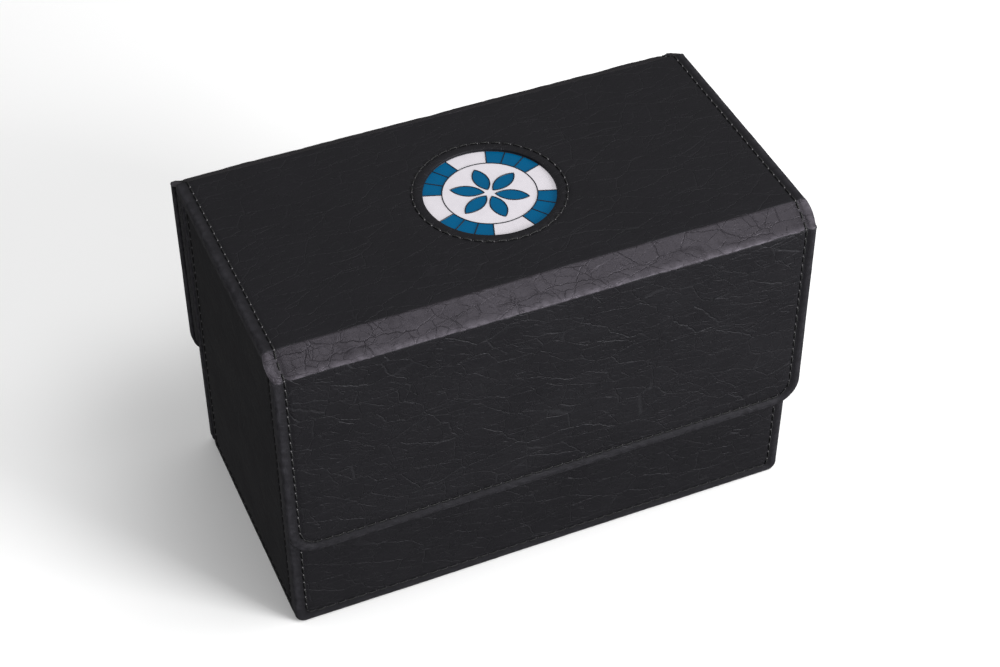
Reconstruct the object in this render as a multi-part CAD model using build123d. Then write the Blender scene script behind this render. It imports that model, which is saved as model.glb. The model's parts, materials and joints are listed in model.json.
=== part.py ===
from build123d import *
import math
import os

# A magnetic deck box for trading cards: a leatherette-covered board box, a loose
# wrap-over lid of three hinged panels, and two sliding card dividers.
# Millimetres. Origin: bottom centre. +X along the length, -Y to the front, +Z up.

# ---- driving dimensions ----
LENGTH = 160.0  # body, along X
BODY_WIDTH = 84.0  # body, along Y
BODY_HEIGHT = 103.0  # resting face to rim

SKIN = 0.8  # leatherette
BOARD = 2.2  # greyboard core
LINING = 0.5  # suede-look lining
EDGE_ROUND = 0.7  # where the skin turns over a board's edge
CORNER = 1.5  # panel corners, seen square on
FOOT_CORNER = 3.0  # lower corners of the front and rear walls
FLAP_CORNER = 8.5  # lower corners of the lid's flaps
END_RECESS = 0.4  # end walls, in from the ends of the front and rear walls

LID_OVERHANG = 1.25  # lid past the body, at each end
LID_GAP = 0.5  # lid to rim, and flaps to walls
FLAP_LENGTH = 67.2
STRIP_INBOARD = 3.5  # hinge strip's upper edge, in from the wall's outer face
STRIP_BELOW = 1.3  # hinge strip's lower edge, below the lid's inner face

WINDOW_RADIUS = 19.5  # round window in the lid's skin
WINDOW_ROUND = 0.35
BADGE_LIP = 1.5  # badge held under the skin, all round
BADGE_THICKNESS = 1.2
INLAY_DEPTH = 0.4
INLAY_RING_RADIUS = 13.7  # inner edge of the blue ring
INLAY_RING_LIP = 0.7  # blue ring held under the skin
INLAY_SEGMENTS = 4
INLAY_SEGMENT_ANGLE = 52.0
PETALS = 6
PETAL_START = 1.6  # from the badge's middle
PETAL_LENGTH = 9.8
PETAL_WIDTH = 4.4

THREAD_WIDTH = 0.6
THREAD_DEPTH = 0.3
THREAD_INSET = 3.4  # from a panel's edge
END_THREAD_INSET = 2.6
WINDOW_THREAD_OFFSET = 2.8  # outside the window's edge

MAGNET_RADIUS = 5.0
MAGNET_THICKNESS = 1.5
MAGNET_CLEARANCE = 0.15
MAGNET_COUNT = 3
MAGNET_SPACING = 55.0
MAGNET_ABOVE_FLAP_EDGE = 12.0

DIVIDER_THICKNESS = 1.2
DIVIDER_BELOW_RIM = 11.2
DIVIDER_CLEARANCE = 0.3  # to the base lining and the long walls
DIVIDER_CORNER = 6.0
DIVIDER_NOTCH = 11.0  # radius of the thumb notch
DIVIDER_BAYS = 3

# ---- derived sizes ----
WALL = SKIN + BOARD + LINING
CAVITY_LENGTH = LENGTH - 2 * (END_RECESS + WALL)
CAVITY_WIDTH = BODY_WIDTH - 2 * WALL
LID_LENGTH = LENGTH + 2 * LID_OVERHANG
LID_INNER_Z = BODY_HEIGHT + LID_GAP
LID_TOP_Z = LID_INNER_Z + WALL
FLAP_INNER_Y = BODY_WIDTH / 2 + LID_GAP
FLAP_OUTER_Y = FLAP_INNER_Y + WALL
FLAP_TOP_Z = LID_INNER_Z - STRIP_BELOW
FLAP_BOTTOM_Z = FLAP_TOP_Z - FLAP_LENGTH
TOP_EDGE_Y = BODY_WIDTH / 2 - STRIP_INBOARD
MAGNET_Z = FLAP_BOTTOM_Z + MAGNET_ABOVE_FLAP_EDGE
BADGE_RADIUS = WINDOW_RADIUS + BADGE_LIP
DIVIDER_FOOT_Z = WALL + DIVIDER_CLEARANCE
DIVIDER_HEIGHT = BODY_HEIGHT - DIVIDER_BELOW_RIM - DIVIDER_FOOT_Z

FRONT, REAR = -1, 1


def export(node, shape):
    export_step(shape, f"parts/{node}.step")


def outline(width, height, low_corner, high_corner):
    """A rectangle about the origin, its lower and upper corners rounded."""
    face = Rectangle(width, height)
    face = fillet(face.vertices().group_by(Axis.Y)[0], low_corner)
    return fillet(face.vertices().group_by(Axis.Y)[-1], high_corner)


def slab(face, bottom, thickness):
    return Pos(0, 0, bottom) * extrude(face, thickness)


def seam_face(width, height, low_corner, high_corner, inset, open_low=False, open_high=False):
    """A seam's flat loop along a panel's outline, running off any edge that is open."""
    low_run = 2 * inset * open_low
    high_run = 2 * inset * open_high
    side = inset - THREAD_WIDTH / 2
    loops = []
    for cut in (side, side + THREAD_WIDTH):
        low = max(low_corner - side, 2 * THREAD_WIDTH) + side - cut
        high = max(high_corner - side, 2 * THREAD_WIDTH) + side - cut
        tall = height + low_run + high_run - 2 * cut
        loops.append(outline(width - 2 * cut, tall, low, high))
    loop = Pos(0, (high_run - low_run) / 2) * (loops[0] - loops[1])
    return loop & Rectangle(width, height)


def panel_solids(width, height, low_corner=CORNER, high_corner=CORNER):
    """Skin, board and lining of one panel, inner face on Z = 0, outer face at Z = WALL."""
    skin = slab(outline(width, height, low_corner, high_corner), 0, WALL)
    skin = fillet(skin.faces().sort_by(Axis.Z)[-1].edges(), EDGE_ROUND)
    core = outline(
        width - 2 * SKIN, height - 2 * SKIN, low_corner - SKIN, high_corner - SKIN
    )
    skin -= slab(core, 0, WALL - SKIN)
    board = slab(core, LINING, BOARD)
    lining = slab(core, 0, LINING)
    return {"cover": skin, "board": board, "lining": lining}


def add_seam(solids, face, node="thread"):
    """Lays a seam flush in a groove of the skin."""
    seam = slab(face, WALL - THREAD_DEPTH, THREAD_DEPTH)
    solids["cover"] -= seam
    solids[node] = seam


def add_magnets(solids, bottom, local_y):
    """Disc magnets in round pockets of the board, evenly spaced along the panel."""
    middle = (MAGNET_COUNT - 1) / 2
    places = [Pos((i - middle) * MAGNET_SPACING, local_y) for i in range(MAGNET_COUNT)]
    for place in places:
        pocket = Circle(MAGNET_RADIUS + MAGNET_CLEARANCE)
        solids["board"] -= place * slab(pocket, bottom, MAGNET_THICKNESS)
    discs = [place * slab(Circle(MAGNET_RADIUS), bottom, MAGNET_THICKNESS) for place in places]
    solids["magnets"] = Compound([disc.solid() for disc in discs])


def place(name, plane, solids):
    """Stands a panel's solids on their plane and writes each to its own node."""
    for kind, solid in solids.items():
        export(f"{name}_{kind}", plane.location * solid)


def upright(side, inner_y, middle_z):
    """The plane of a front or rear panel's inner face, its Z outwards."""
    return Plane(origin=(0, side * inner_y, middle_z), x_dir=(-side, 0, 0), z_dir=(0, side, 0))


# ---- body ----
def long_wall(name, side):
    """Front or rear wall: full length, with magnets just under its skin."""
    size = (LENGTH, BODY_HEIGHT, FOOT_CORNER, CORNER)
    solids = panel_solids(*size)
    add_magnets(solids, WALL - SKIN - MAGNET_THICKNESS, MAGNET_Z - BODY_HEIGHT / 2)
    add_seam(solids, seam_face(*size, THREAD_INSET))
    place(name, upright(side, BODY_WIDTH / 2 - WALL, BODY_HEIGHT / 2), solids)


def end_wall(name, side):
    """Left or right wall, between the long walls and set in a little from their ends."""
    size = (CAVITY_WIDTH, BODY_HEIGHT, CORNER, CORNER)
    solids = panel_solids(*size)
    add_seam(solids, seam_face(*size, END_THREAD_INSET))
    origin = (side * CAVITY_LENGTH / 2, 0, BODY_HEIGHT / 2)
    place(name, Plane(origin=origin, x_dir=(0, side, 0), z_dir=(side, 0, 0)), solids)


def base():
    """Bottom panel, between the four walls, its skin on the resting face."""
    solids = panel_solids(CAVITY_LENGTH, CAVITY_WIDTH)
    place("base", Plane(origin=(0, 0, WALL), x_dir=(1, 0, 0), z_dir=(0, 0, -1)), solids)


def divider(name, middle_x):
    """A card divider that stands on the base, with a thumb notch in its upper edge."""
    width = CAVITY_WIDTH - 2 * DIVIDER_CLEARANCE
    face = outline(width, DIVIDER_HEIGHT, CORNER, DIVIDER_CORNER)
    face -= Pos(0, DIVIDER_HEIGHT / 2) * Circle(DIVIDER_NOTCH)
    origin = (middle_x - DIVIDER_THICKNESS / 2, 0, DIVIDER_FOOT_Z + DIVIDER_HEIGHT / 2)
    plane = Plane(origin=origin, x_dir=(0, 1, 0), z_dir=(1, 0, 0))
    export(name, plane.location * slab(face, 0, DIVIDER_THICKNESS))


# ---- lid ----
def inlay_faces():
    """The badge's plain pattern: a broken ring round a rosette of petals."""
    outer = WINDOW_RADIUS + INLAY_RING_LIP
    half = math.radians(INLAY_SEGMENT_ANGLE / 2)
    reach = 2 * outer
    wedge = Polygon(
        (0, 0),
        (reach * math.cos(half), -reach * math.sin(half)),
        (reach * math.cos(half), reach * math.sin(half)),
        align=None,
    )
    segment = (Circle(outer) - Circle(INLAY_RING_RADIUS)) & wedge
    step = 360 / INLAY_SEGMENTS
    faces = [Rot(0, 0, step * (i + 0.5)) * segment for i in range(INLAY_SEGMENTS)]
    side = (PETAL_LENGTH**2 + PETAL_WIDTH**2) / (4 * PETAL_WIDTH)
    shift = side - PETAL_WIDTH / 2
    petal = (Pos(0, shift) * Circle(side)) & (Pos(0, -shift) * Circle(side))
    petal = Pos(PETAL_START + PETAL_LENGTH / 2, 0) * petal
    return faces + [Rot(0, 0, 360 / PETALS * (i + 0.5)) * petal for i in range(PETALS)]


def lid_panel():
    """Flat top panel: a badge lies in its board and shows through a round window."""
    size = (LID_LENGTH, 2 * TOP_EDGE_Y, CORNER, CORNER)
    solids = panel_solids(*size)
    skin = solids["cover"] - slab(Circle(WINDOW_RADIUS), WALL - SKIN, SKIN)
    rim = skin.edges().filter_by(GeomType.CIRCLE).group_by(Axis.Z)[-1]
    rim = rim.filter_by(lambda edge: abs(edge.radius - WINDOW_RADIUS) < WINDOW_ROUND)
    solids["cover"] = fillet(rim, WINDOW_ROUND)
    add_seam(solids, seam_face(*size, THREAD_INSET, open_low=True, open_high=True))
    ring_radius = WINDOW_RADIUS + WINDOW_THREAD_OFFSET
    ring = Circle(ring_radius + THREAD_WIDTH / 2) - Circle(ring_radius - THREAD_WIDTH / 2)
    add_seam(solids, ring, "window_thread")

    face_z = WALL - SKIN
    badge = slab(Circle(BADGE_RADIUS), face_z - BADGE_THICKNESS, BADGE_THICKNESS)
    solids["board"] -= badge
    inlays = [slab(face, face_z - INLAY_DEPTH, INLAY_DEPTH) for face in inlay_faces()]
    for inlay in inlays:
        badge -= inlay
    solids["badge_disc"] = badge
    solids["badge_inlays"] = Compound([inlay.solid() for inlay in inlays])
    place("top", Plane(origin=(0, 0, LID_INNER_Z), z_dir=(0, 0, 1)), solids)


def flap(name, side):
    """Front or rear flap, with magnets just under its lining."""
    size = (LID_LENGTH, FLAP_LENGTH, FLAP_CORNER, CORNER)
    middle_z = (FLAP_TOP_Z + FLAP_BOTTOM_Z) / 2
    solids = panel_solids(*size)
    add_magnets(solids, LINING, MAGNET_Z - middle_z)
    add_seam(solids, seam_face(*size, THREAD_INSET, open_high=True))
    place(name, upright(side, FLAP_INNER_Y, middle_z), solids)


def strip_section(side, thickness):
    """Section of a sheet that slopes from the top panel's edge down to a flap's edge."""
    run = FLAP_OUTER_Y - TOP_EDGE_Y
    drop = LID_TOP_Z - FLAP_TOP_Z
    slope = math.hypot(run, drop)
    section = Polygon(
        (side * TOP_EDGE_Y, LID_TOP_Z),
        (side * FLAP_OUTER_Y, FLAP_TOP_Z),
        (side * (FLAP_OUTER_Y - thickness * slope / drop), FLAP_TOP_Z),
        (side * TOP_EDGE_Y, LID_TOP_Z - thickness * slope / run),
        align=None,
    )
    return Plane(origin=(0, 0, 0), x_dir=(0, 1, 0), z_dir=(1, 0, 0)).location * section


def hinge_strip(name, side):
    """Skin and lining without a board; the lid's end seams cross it."""
    strip = extrude(strip_section(side, SKIN + LINING), LID_LENGTH / 2, both=True)
    seam = extrude(strip_section(side, THREAD_DEPTH), THREAD_WIDTH / 2, both=True)
    seam_x = LID_LENGTH / 2 - THREAD_INSET
    seams = [Pos(x, 0, 0) * seam for x in (-seam_x, seam_x)]
    for seam in seams:
        strip -= seam
    export(f"{name}_strip", strip)
    export(f"{name}_strip_thread", Compound([seam.solid() for seam in seams]))


os.makedirs("parts", exist_ok=True)
base()
long_wall("front_wall", FRONT)
long_wall("rear_wall", REAR)
end_wall("left_end", -1)
end_wall("right_end", 1)
for bay in range(1, DIVIDER_BAYS):
    divider(f"divider_{bay}", CAVITY_LENGTH * (bay / DIVIDER_BAYS - 0.5))
lid_panel()
flap("front_flap", FRONT)
flap("rear_flap", REAR)
hinge_strip("front_hinge", FRONT)
hinge_strip("rear_hinge", REAR)
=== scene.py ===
import json
import math

import bmesh
import bpy
import numpy as np
from mathutils import Matrix, Vector


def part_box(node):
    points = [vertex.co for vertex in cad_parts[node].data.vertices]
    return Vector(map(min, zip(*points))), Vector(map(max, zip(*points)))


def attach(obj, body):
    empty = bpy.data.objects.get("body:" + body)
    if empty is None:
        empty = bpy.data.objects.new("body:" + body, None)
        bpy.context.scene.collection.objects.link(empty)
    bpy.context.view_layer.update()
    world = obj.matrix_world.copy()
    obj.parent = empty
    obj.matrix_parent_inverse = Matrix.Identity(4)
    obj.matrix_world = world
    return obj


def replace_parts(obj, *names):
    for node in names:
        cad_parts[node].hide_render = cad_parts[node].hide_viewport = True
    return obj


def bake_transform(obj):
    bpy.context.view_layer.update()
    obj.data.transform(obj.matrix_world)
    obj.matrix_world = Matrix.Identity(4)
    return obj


# The looks of the card deck box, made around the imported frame. Metres; helper code
# inside a panel works in millimetres, in the panel's own u, v, w (w outwards).

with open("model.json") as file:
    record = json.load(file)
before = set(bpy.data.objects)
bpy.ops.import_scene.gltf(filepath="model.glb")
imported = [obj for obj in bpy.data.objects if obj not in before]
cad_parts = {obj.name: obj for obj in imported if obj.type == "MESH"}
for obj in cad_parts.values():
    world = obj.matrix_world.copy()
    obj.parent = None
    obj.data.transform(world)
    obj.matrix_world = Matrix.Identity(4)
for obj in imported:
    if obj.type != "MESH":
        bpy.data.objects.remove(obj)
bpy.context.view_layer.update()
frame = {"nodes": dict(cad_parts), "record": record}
MM = 0.001

# ---- sheet and seam sizes, mm ----
SKIN = 0.8  # thickness of the leatherette
POCKET_LAP = 0.02  # a skin's pocket laps over its board by this, so no two faces coincide
EDGE = 0.95  # rounding of a turned edge
INNER_EDGE = 0.4  # the same, on a panel's inner side
OPEN_EDGE = 0.52  # share of that rounding where the sheet runs on over a fold
CORNER = 1.5
FOOT_CORNER = 3.0
FLAP_CORNER = 8.5
SEAM_INSET = 3.4
END_SEAM_INSET = 2.6
SEAM_CORNER = 1.0  # a seam turns a corner with at least this radius
STITCH_PITCH = 3.25
STITCH_LENGTH = 0.84  # share of the pitch
THREAD_RADIUS = 0.27
STITCH_SIDES = 8
STITCH_LIFT = 0.14  # raises each stitch above the floor of its channel
STITCH_SLANT = 0.10  # sideways shift from one end of a stitch to the other
SHORTEST_STITCH = 0.5
LEAN = {"front_flap": 1.2, "rear_flap": 0.2}  # how far a flap's lower edge leans off the wall
LEAN_POWER = 1.3  # above 1, so that a flap curves away from its fold
CREASE_WEAR_AND_LIGHT = {"top": 0.55, "left_end": 0.3, "right_end": 0.3}  # strength of the creases and of the painted highlight along them, 1 elsewhere
PUFF = {"front_flap": 0.42, "rear_flap": 0.42}  # how far the margin outside the seam swells
PLAIN_PUFF = 0.16  # the same on the other panels
FLARE = 0.55  # the hinge strips' ends bulge out past the panels' ends by this much
FLARE_END = 0.85  # share of a strip's slope, from its upper edge, over which they bulge
FLARE_REACH = 6.0  # how far in from the ends the bulge starts
GRID = 0.8  # spacing of the skins' vertices
STRIP_DENT = 0.45  # no wrinkle on a hinge strip is deeper than this
STRIP_THIN = 0.40  # the bare sheet's thickness over a hinge, under a dent
STRIP_TOP, STRIP_LOW = 0.70, 0.86  # its underside stays between these depths, clear of the walls
STRIP_EDGE = 0.15  # it gets no thinner than this, at its turned ends
STRIP_PITCH = 3.0  # of the stitches over a strip
FOLD_POINTS, SLOPE_POINTS = 6, 14  # of a strip's section, along each fold and between them

# ---- relief of the skins, mm ----
RIM_DIP, RIM_DIP_WIDTH = 0.16, 1.7  # down to the panel's outline
SWELL_PLACE, SWELL_WIDTH = 0.42, 0.95  # of the swollen margin; its place is a share of the inset
CHANNEL_DEPTH, CHANNEL_WIDTH = 0.16, 0.6  # where the seam pulls the skin down
CHANNEL_GAIN = 0.8  # share of the swelling that deepens the channel as well
FACE_RISE, FACE_RISE_START, FACE_RISE_WIDTH = 0.09, 0.8, 7.0  # inside the seam
NEEDLE_DEPTH, NEEDLE_SPREAD = 0.13, 0.18  # dent at a needle hole; the spread is in mm squared
NEEDLE_REACH = 1.3  # the dents stop this far from the seam
WINDOW_CHANNEL_DEPTH, WINDOW_CHANNEL_WIDTH = 0.18, 0.5
WINDOW_SWELL, WINDOW_SWELL_WIDTH = 0.07, 0.8
WINDOW_DIP, WINDOW_DIP_WIDTH = 0.12, 0.9
WINDOW_EDGE = ((0.08, 0.10), (0.22, 0.16), (0.45, 0.17), (SKIN + 0.05, 0.17))  # rings: drop, inset
WINDOW_PATCH = 9.0  # the grid turns into rings this far outside the window
WINDOW_RINGS = 24
NO_HOLES = np.zeros((0, 2))

# ---- badge, mm ----
WINDOW_RADIUS = 19.5
WINDOW_SEAM_OFFSET = 2.8
INLAY_RING_RADIUS = 13.7
INLAY_SEGMENTS = 4
INLAY_SEGMENT_ANGLE = 52.0
PETALS = 6
PETAL_START = 1.6
PETAL_LENGTH = 9.8
PETAL_WIDTH = 4.4
OUTLINE_RADIUS = 0.18
WINDOW_SHADE_RING_RADIUS = 19.35  # a ring of dark ink just inside the window's edge: painted shade where the leatherette's edge overhangs the badge

# ---- creases of the leatherette, from the longest to the finest ----
# size: length and width of the cells whose edges they follow, mm. line: half their width, as a
# share of a cell. bend: spacing of the slow bends, then size of the slow and the rough ones, mm.
# shift: moves each kind to its own place in the noise. patch: scale of the patches they come in,
# and the range of the noise over which they fade in. show: strength outside and in a patch.
CREASES = (
    {
        "size": (12.0, 6.4), "line": 0.024, "bend": (26.0, 6.0, 1.5), "shift": (3.1, 7.7, 0),
        "patch": (0.07, 0.34, 0.56), "show": (0.40, 1.0),
    },
    {
        "size": (5.4, 3.3), "line": 0.030, "bend": (14.0, 3.6, 1.1), "shift": (9.4, 2.3, 0),
        "patch": (0.20, 0.42, 0.60), "show": (0.20, 0.80),
    },
    {
        "size": (2.6, 1.9), "line": 0.060, "bend": (6.0, 1.2, 0.5), "shift": (5.5, 1.9, 0),
        "patch": (0.16, 0.40, 0.62), "show": (0.05, 0.30),
    },
)

# ---- lamps and camera, m and W ----
FLOOR_HALF = 6.0
FLOOR_HEIGHT = -0.02 * MM  # just under the box, so that no two faces coincide
CAMERA_PLACE = (-0.18552, -0.43769, 0.49230)
CAMERA_AZIMUTH, CAMERA_ELEVATION = -23.32, 42.83
CAMERA_LENS, CAMERA_SENSOR = 77.21, 36.0


# ---------------------------------------------------------------- noise
def value_noise(points, scale, seed):
    """Smooth noise from -1 to 1 at each row of points, from a hash of the cell's corners."""
    p = np.asarray(points, float) / scale + 1000.0
    cell = np.floor(p).astype(np.int64)
    t = p - cell
    t = t * t * (3 - 2 * t)
    total = np.zeros(len(p))
    for corner in range(8):
        bits = np.array([corner & 1, corner >> 1 & 1, corner >> 2 & 1])
        c = cell + bits
        h = (c[:, 0] * 374761393 + c[:, 1] * 668265263 + c[:, 2] * 2147483647) & 0xFFFFFFFF
        h = (h + seed * 1274126177) & 0xFFFFFFFF
        h = ((h ^ (h >> 13)) * 1274126177) & 0xFFFFFFFF
        value = ((h ^ (h >> 16)) & 0xFFFF) / 32767.5 - 1
        weight = np.prod(np.where(bits == 1, t, 1 - t), axis=1)
        total += value * weight
    return total


def smooth(x):
    """Eased step from 0 at x 0 to 1 at x 1."""
    x = np.clip(x, 0, 1)
    return x * x * (3 - 2 * x)


def bell(x, width):
    """1 at x 0, fading to nothing within about twice the width."""
    return np.exp(-((x / width) ** 2))


# ---------------------------------------------------------------- panels
class Panel:
    """A covered board: its place from its CAD cover's box, and its own u, v, w axes."""

    def __init__(self, name, body, u, v, w, corners, inset, open_low=False, open_high=False):
        low, high = (Vector(p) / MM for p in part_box(f"{name}_cover"))
        self.name, self.body = name, body
        self.u, self.v, self.w = Vector(u), Vector(v), Vector(w)
        middle, span = (low + high) / 2, high - low
        self.width = abs(span.dot(self.u))
        self.height = abs(span.dot(self.v))
        self.depth = abs(span.dot(self.w))
        self.face = middle + self.w * self.depth / 2
        self.low_corner, self.high_corner = corners
        self.inset = inset
        self.open_low, self.open_high = open_low, open_high
        self.lean = LEAN.get(name, 0.0)
        self.wear = CREASE_WEAR_AND_LIGHT.get(name, 1.0)
        self.puff = PUFF.get(name, PLAIN_PUFF)
        self.run_on = (open_low * 2 * SEAM_INSET, open_high * 2 * SEAM_INSET)
        # each panel has its own place in the noise
        self.seed = sum(ord(letter) * (i + 1) for i, letter in enumerate(name)) % 997

    def edge_distance(self, x, y):
        """Distance in from the outline, leaving out the edges where the sheet runs on."""
        low_run, high_run = self.run_on
        middle = (high_run - low_run) / 2
        half_v = (self.height + low_run + high_run) / 2
        radius = np.where(y < 0, self.low_corner, self.high_corner)
        qx = np.abs(x) - self.width / 2 + radius
        qy = np.abs(y - middle) - half_v + radius
        outside = np.hypot(np.maximum(qx, 0), np.maximum(qy, 0))
        return radius - outside - np.minimum(np.maximum(qx, qy), 0)

    def to_world(self, points):
        """Rows of u, v, w in millimetres, w from the outer face, to x, y, z in metres."""
        m = np.array([self.u, self.v, self.w])
        return (np.asarray(points) @ m + np.array(self.face)) * MM


def lean(points, panel):
    """A flap's lower edge stands a little off the wall, as the fold springs back."""
    share = (panel.height / 2 - points[:, 1]) / panel.height
    points[:, 2] += panel.lean * np.clip(share, 0, 1) ** LEAN_POWER
    return points


def spaced(start, stop, step):
    """Even values from start to stop, near the step asked for."""
    count = max(1, round(abs(stop - start) / step))
    return list(np.linspace(start, stop, count + 1))


def corner_rows(radius, edge, direction, count):
    """Rows through a rounded corner, close together where the arc is flat."""
    angles = np.linspace(0, math.pi / 2, count + 1)
    return [edge + direction * radius * (1 - math.cos(a)) for a in angles]


def stitch_path(points, pitch=STITCH_PITCH, closed=False):
    """Points along a polyline at an even pitch near the one asked for."""
    p = np.array(points, float)
    if closed:
        p = np.vstack([p, p[:1]])
    step = np.linalg.norm(np.diff(p, axis=0), axis=1)
    s = np.r_[0, np.cumsum(step)]
    count = max(1, round(s[-1] / pitch))
    at = np.linspace(0, s[-1], count + 1)
    return np.c_[np.interp(at, s, p[:, 0]), np.interp(at, s, p[:, 1])]


def rounded_outline(width, height, low, high, open_high=False):
    """Points round a rectangle with rounded corners; open_high leaves the upper edge out."""
    turns = range(0, 91, 10)
    points = []
    corners = (
        (-width / 2 + low, -height / 2 + low, low, 180),
        (width / 2 - low, -height / 2 + low, low, 270),
        (width / 2 - high, height / 2 - high, high, 0),
        (-width / 2 + high, height / 2 - high, high, 90),
    )
    for x, y, radius, start in corners:
        for turn in turns:
            a = math.radians(start + turn)
            points.append((x + radius * math.cos(a), y + radius * math.sin(a)))
    if open_high:
        left, right = (-width / 2, height / 2), (width / 2, height / 2)
        points = [left] + points[: 2 * len(turns)] + [right]
    return points


def seam_holes(panel):
    """Needle holes of each seam on a panel, in order, as lists of u, v."""
    w = panel.width - 2 * panel.inset
    if panel.open_low:
        half = panel.height / 2
        return [stitch_path([(x, -half), (x, half)]) for x in (-w / 2, w / 2)]
    low = max(panel.low_corner - panel.inset, SEAM_CORNER)
    if panel.open_high:
        h = panel.height - panel.inset
        path = rounded_outline(w, h, low, SEAM_CORNER, open_high=True)
        path = [(x, y + panel.inset / 2) for x, y in path]
        return [stitch_path(path)]
    h = panel.height - 2 * panel.inset
    return [stitch_path(rounded_outline(w, h, low, SEAM_CORNER), closed=True)]


def needle_dents(x, y, holes):
    """Depth of the dents that the thread pulls at its needle holes."""
    gap = (x[:, None] - holes[:, 0]) ** 2 + (y[:, None] - holes[:, 1]) ** 2
    return NEEDLE_DEPTH * np.exp(-gap.min(axis=1) / NEEDLE_SPREAD)


def wrinkles(panel, x, y):
    """Slow waves in the glued skin, and long shallow furrows in patches."""
    p = np.c_[x, y, np.full(len(x), panel.seed * 3.7)]
    waves = 0.10 * value_noise(p, 34.0, 1) + 0.05 * value_noise(p, 15.0, 2)
    long = np.c_[x * 0.32, y + 2.0 * value_noise(p, 12.0, 3), p[:, 2]]
    furrow = (1 - np.abs(value_noise(long, 3.4, 4))) ** 7
    patch = smooth(value_noise(p, 20.0, 5) * 1.4 + 0.3)
    return waves - 0.075 * furrow * patch


def relief(panel, x, y, holes):
    """Height of the skin over its flat face. A panel without a seam only sinks below it."""
    d = panel.edge_distance(x, y)
    z = -RIM_DIP * (1 - smooth(d / RIM_DIP_WIDTH))
    z += panel.puff * bell(d - panel.inset * SWELL_PLACE, SWELL_WIDTH)
    z -= (CHANNEL_DEPTH + CHANNEL_GAIN * panel.puff) * bell(d - panel.inset, CHANNEL_WIDTH)
    z += FACE_RISE * smooth((d - panel.inset - FACE_RISE_START) / FACE_RISE_WIDTH)
    z += wrinkles(panel, x, y)
    if not panel.inset:
        return z - z.max()
    near = np.abs(d - panel.inset) < NEEDLE_REACH
    if len(holes) and near.any():
        z[near] -= needle_dents(x[near], y[near], holes)
    return z


def new_object(name, data, body=None):
    """An object in the scene; with a body, it rides on it."""
    obj = bpy.data.objects.new(name, data)
    bpy.context.scene.collection.objects.link(obj)
    if body:
        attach(obj, body)
    return obj


def set_attribute(mesh, name, values):
    """One number or one vector for each vertex, which the materials read by name."""
    values = np.asarray(values, np.float32)
    kind = "FLOAT_VECTOR" if values.ndim == 2 else "FLOAT"
    layer = mesh.attributes.new(name, kind, "POINT")
    layer.data.foreach_set("vector" if values.ndim == 2 else "value", values.ravel())


def grid_faces(rows, columns, skip=None):
    """Quads of a grid of vertices; skip leaves a block of columns and rows out."""
    faces = []
    for j in range(rows - 1):
        for i in range(columns - 1):
            if skip and skip[0] <= i < skip[1] and skip[2] <= j < skip[3]:
                continue
            a = j * columns + i
            faces.append((a, a + 1, a + columns + 1, a + columns))
    return faces


def ring_faces(first, second):
    """Quads between two closed rings of as many vertices."""
    n = len(first)
    return [(first[i], second[i], second[(i + 1) % n], first[(i + 1) % n]) for i in range(n)]


def face_grid(panel):
    """The outer face's vertices, its counts of rows and columns, and its limits: half the
    width, bottom, top, and the radii of its lower and upper corners."""
    border_low = EDGE * (OPEN_EDGE if panel.open_low else 1)
    border_high = EDGE * (OPEN_EDGE if panel.open_high else 1)
    half_u = panel.width / 2 - EDGE
    low = 0 if panel.open_low else panel.low_corner - EDGE
    high = 0 if panel.open_high else panel.high_corner - EDGE
    bottom, top = -panel.height / 2 + border_low, panel.height / 2 - border_high
    steps = 9 if low > CORNER else 3
    rows = corner_rows(low, bottom, 1, steps) if low else [bottom]
    ends = corner_rows(high, top, -1, 3)[::-1] if high else [top]
    rows = rows[:-1] + spaced(rows[-1], ends[0], GRID) + ends[1:]
    columns = np.array(spaced(-half_u, half_u, GRID))
    x = np.tile(columns, len(rows))
    y = np.repeat(rows, len(columns))
    for radius, gap in ((low, y - bottom), (high, top - y)):
        if radius:
            # rows through a rounded corner draw in, and their outer columns close up
            inside = gap < radius
            g = np.clip(radius - gap[inside], 0, radius)
            shift = radius - np.sqrt(np.maximum(radius**2 - g**2, 0))
            span = 1.6 * radius + 2.0
            e = half_u - np.abs(x[inside])
            e = np.where(e < span, shift + e * (span - shift) / span, e)
            x[inside] = np.sign(x[inside]) * (half_u - e)
    return x, y, len(rows), len(columns), (half_u, bottom, top, low, high)


def border_loop(rows, columns):
    """Indices round the grid, anticlockwise from its lower left."""
    last = (rows - 1) * columns
    loop = list(range(columns))
    loop += [j * columns + columns - 1 for j in range(1, rows)]
    loop += [last + i for i in range(columns - 2, -1, -1)]
    loop += [j * columns for j in range(rows - 2, 0, -1)]
    return loop


def border_normals(panel, x, y, loop, limits):
    """Outward direction at each point of the border, shorter where the sheet runs on."""
    half_u, bottom, top, low, high = limits
    out = np.zeros((len(loop), 2))
    for k, i in enumerate(loop):
        px, py = x[i], y[i]
        if py < (bottom + top) / 2:
            radius, edge, opened, sign_y = low, py - bottom, panel.open_low, -1
        else:
            radius, edge, opened, sign_y = high, top - py, panel.open_high, 1
        cx = half_u - radius
        if edge < radius and abs(px) > cx - 1e-9:
            n = Vector((abs(px) - cx, radius - edge))
            n = n.normalized() if n.length > 1e-6 else Vector((0, 1))
            out[k] = (math.copysign(n.x, px), sign_y * n.y)
            continue
        on_side = abs(abs(px) - half_u) < 1e-6
        on_end = edge < 1e-6
        out[k] = (
            math.copysign(1, px) if on_side else 0,
            sign_y * (OPEN_EDGE if opened else 1) if on_end else 0,
        )
    return out


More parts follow.
